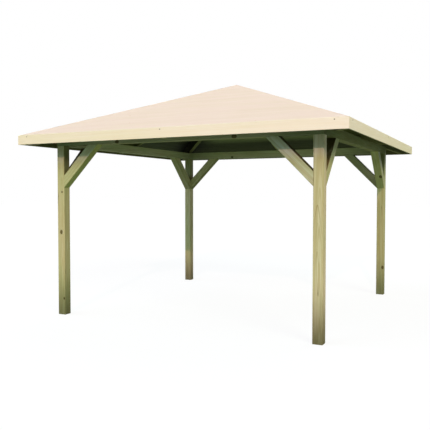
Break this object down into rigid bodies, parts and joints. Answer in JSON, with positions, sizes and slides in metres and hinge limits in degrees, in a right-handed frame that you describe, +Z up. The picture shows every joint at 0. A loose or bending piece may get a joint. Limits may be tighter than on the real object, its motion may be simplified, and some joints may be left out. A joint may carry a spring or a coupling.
{
  "type": "gazebo",
  "caption": "Open square timber gazebo: corner posts with knee braces carry a ring of beams and a low boarded pyramid roof with a fascia board round its eaves.",
  "frame": {"origin": "middle of the square plan, on the floor that the post feet stand on", "axes": "+Z up, +X to the right along the front side, +Y from the front side to the back"},
  "size_m": [4.378, 4.378, 3.2511],
  "materials": {
    "frame_timber": "planed pine, pressure treated with a green tint, matt",
    "roof_timber": "planed pine, pressure treated with a green tint, matt",
    "fascia_board": "pale planed pine boards, matt",
    "roof_boarding": "pale tongue-and-groove pine boards, matt"
  },
  "bodies": {
    "root": {"front_left_post": "frame_timber", "front_right_post": "frame_timber", "back_right_post": "frame_timber", "back_left_post": "frame_timber", "front_brace_left": "frame_timber", "front_brace_right": "frame_timber", "right_brace_left": "frame_timber", "right_brace_right": "frame_timber", "back_brace_left": "frame_timber", "back_brace_right": "frame_timber", "left_brace_left": "frame_timber", "left_brace_right": "frame_timber", "front_beam": "frame_timber", "right_beam": "frame_timber", "back_beam": "frame_timber", "left_beam": "frame_timber", "front_left_hip_rafter": "roof_timber", "front_right_hip_rafter": "roof_timber", "back_right_hip_rafter": "roof_timber", "back_left_hip_rafter": "roof_timber", "front_rafter": "roof_timber", "right_rafter": "roof_timber", "back_rafter": "roof_timber", "left_rafter": "roof_timber", "apex_block": "roof_timber", "front_fascia": "fascia_board", "right_fascia": "fascia_board", "back_fascia": "fascia_board", "left_fascia": "fascia_board", "front_roof_slope": "roof_boarding", "right_roof_slope": "roof_boarding", "back_roof_slope": "roof_boarding", "left_roof_slope": "roof_boarding"}
  },
  "joints": []
}
